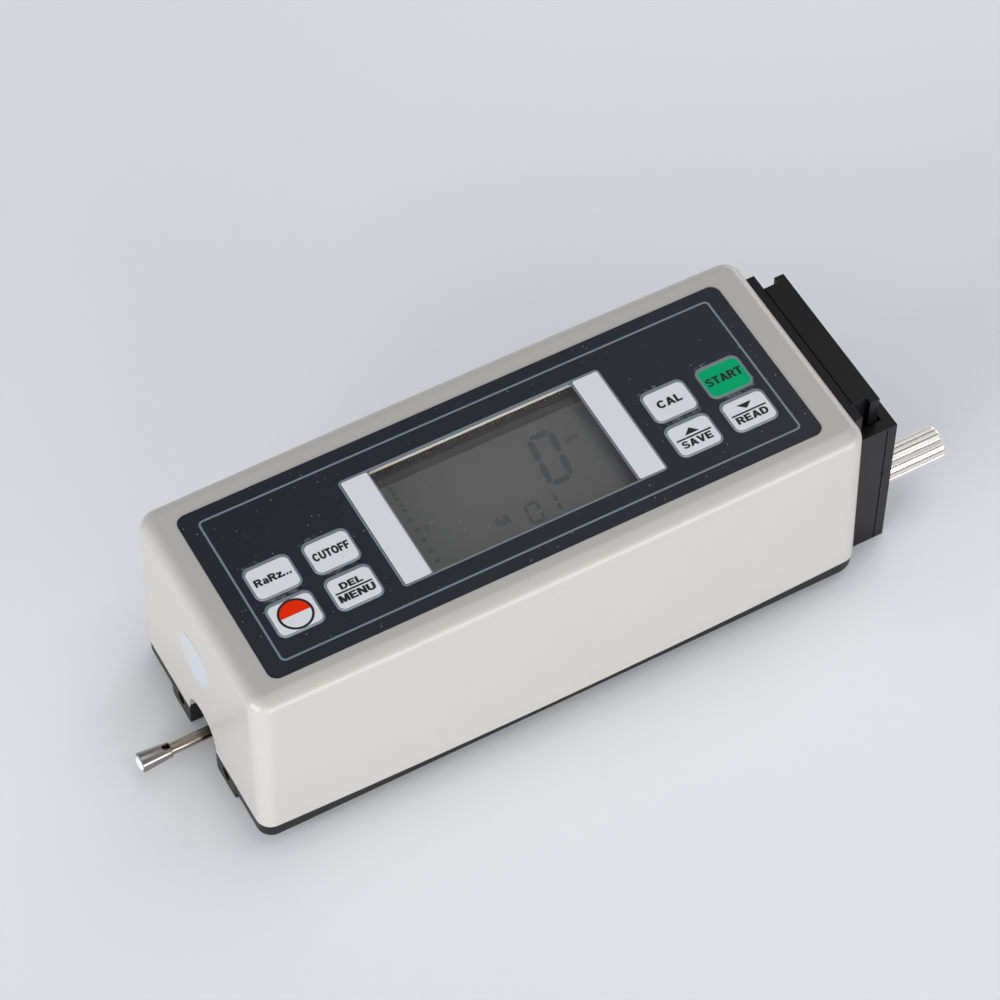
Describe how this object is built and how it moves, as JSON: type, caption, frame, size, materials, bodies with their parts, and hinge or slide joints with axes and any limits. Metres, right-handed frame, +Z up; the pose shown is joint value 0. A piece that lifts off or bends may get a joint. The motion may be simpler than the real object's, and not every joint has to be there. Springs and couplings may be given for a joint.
{
  "type": "surface roughness tester",
  "caption": "Hand-held stylus roughness tester: drafted moulded case with display and keys, driven front pickup and a clamped sliding rear support.",
  "frame": {"origin": "middle of the length and width, on the surface that the tester stands on", "axes": "+X along the case, from the pickup to the rear support; +Y away from the side the knob is on; +Z up"},
  "size_m": [0.1832, 0.0566, 0.0492],
  "materials": {
    "case_plastic": "satin moulded",
    "film": "printed film",
    "window": "clear",
    "key_white": "printed film",
    "key_green": "printed film",
    "lcd_glass": "display glass",
    "steel": "ground",
    "white_plastic": "moulded",
    "board": "solder mask",
    "black_plastic": "moulded",
    "battery_wrap": "shrink wrap",
    "black_metal": "black, matt",
    "aluminium": "milled",
    "brass": "milled",
    "nickel": "nickel plated",
    "anodised": "black anodised"
  },
  "bodies": {
    "root": {"case": "case_plastic", "keypad_overlay": "film", "display_window": "window", "lcd_panel": "lcd_glass", "lcd_pins": "steel", "lcd_holder": "white_plastic", "main_board": "board", "key_switches": "black_plastic", "board_screws": "steel", "battery_pack": "battery_wrap", "charging_socket": "steel", "base_plate": "black_metal", "base_screws": "steel", "drive_frame": "aluminium", "frame_screws": "steel", "guide_rods": "steel", "front_bearing": "steel", "rear_bearing": "steel", "drive_motor": "steel", "motor_bracket": "aluminium", "bracket_screws": "steel", "rail_bracket": "anodised", "rail_screws": "steel"},
    "key_parameter": {"key_parameter": "key_white"},
    "key_cutoff": {"key_cutoff": "key_white"},
    "key_power": {"key_power": "key_white"},
    "key_menu": {"key_menu": "key_white"},
    "key_calibrate": {"key_calibrate": "key_white"},
    "key_start": {"key_start": "key_green"},
    "key_up": {"key_up": "key_white"},
    "key_down": {"key_down": "key_white"},
    "carriage": {"drive_carriage": "brass", "pivot_pin": "steel"},
    "screw": {"lead_screw": "steel", "shaft_coupling": "aluminium", "motor_shaft": "steel"},
    "pickup": {"sensor_socket": "black_plastic", "pickup_connector": "nickel", "pickup_stem": "steel", "pickup_head": "steel", "pickup_plug": "white_plastic", "stylus_pivot": "steel"},
    "stylus": {"stylus_arm": "steel"},
    "slide": {"slide_block": "anodised", "slide_back_plate": "anodised", "slide_screws": "steel"},
    "knob": {"clamp_knob": "nickel"}
  },
  "joints": [
    {"name": "press_parameter", "type": "slide", "parent": "root", "child": "key_parameter", "axis": [0, 0, -1], "range_m": [0, 0.00035], "stiffness_N_per_m": 3000},
    {"name": "press_cutoff", "type": "slide", "parent": "root", "child": "key_cutoff", "axis": [0, 0, -1], "range_m": [0, 0.00035], "stiffness_N_per_m": 3000},
    {"name": "press_power", "type": "slide", "parent": "root", "child": "key_power", "axis": [0, 0, -1], "range_m": [0, 0.00035], "stiffness_N_per_m": 3000},
    {"name": "press_menu", "type": "slide", "parent": "root", "child": "key_menu", "axis": [0, 0, -1], "range_m": [0, 0.00035], "stiffness_N_per_m": 3000},
    {"name": "press_calibrate", "type": "slide", "parent": "root", "child": "key_calibrate", "axis": [0, 0, -1], "range_m": [0, 0.00035], "stiffness_N_per_m": 3000},
    {"name": "press_start", "type": "slide", "parent": "root", "child": "key_start", "axis": [0, 0, -1], "range_m": [0, 0.00035], "stiffness_N_per_m": 3000},
    {"name": "press_up", "type": "slide", "parent": "root", "child": "key_up", "axis": [0, 0, -1], "range_m": [0, 0.00035], "stiffness_N_per_m": 3000},
    {"name": "press_down", "type": "slide", "parent": "root", "child": "key_down", "axis": [0, 0, -1], "range_m": [0, 0.00035], "stiffness_N_per_m": 3000},
    {"name": "traverse", "type": "slide", "parent": "root", "child": "carriage", "axis": [1, 0, 0], "range_m": [0, 0.0175]},
    {"name": "screw_turn", "type": "hinge", "parent": "root", "child": "screw", "pos_m": [-0.00668, 0, 0.0159], "axis": [1, 0, 0], "continuous": true},
    {"name": "pickup_float", "type": "hinge", "parent": "carriage", "child": "pickup", "pos_m": [-0.01868, 0, 0.009], "axis": [0, 1, 0], "range_deg": [-1.5, 1.5], "stiffness_Nm_per_rad": 0.6, "springref_deg": 0.09},
    {"name": "stylus_rock", "type": "hinge", "parent": "pickup", "child": "stylus", "pos_m": [-0.07237, 0, 0.0044], "axis": [0, 1, 0], "range_deg": [-1, 1], "stiffness_Nm_per_rad": 0.004},
    {"name": "support_slide", "type": "slide", "parent": "root", "child": "slide", "axis": [0, 0, 1], "range_m": [-0.008, 0.005]},
    {"name": "knob_turn", "type": "hinge", "parent": "slide", "child": "knob", "pos_m": [0.08332, -0.015, 0.014], "axis": [1, 0, 0], "continuous": true}
  ],
  "couplings": [
    {"joint": "screw_turn", "follows": "traverse", "rad_per_m": 6283.2}
  ]
}
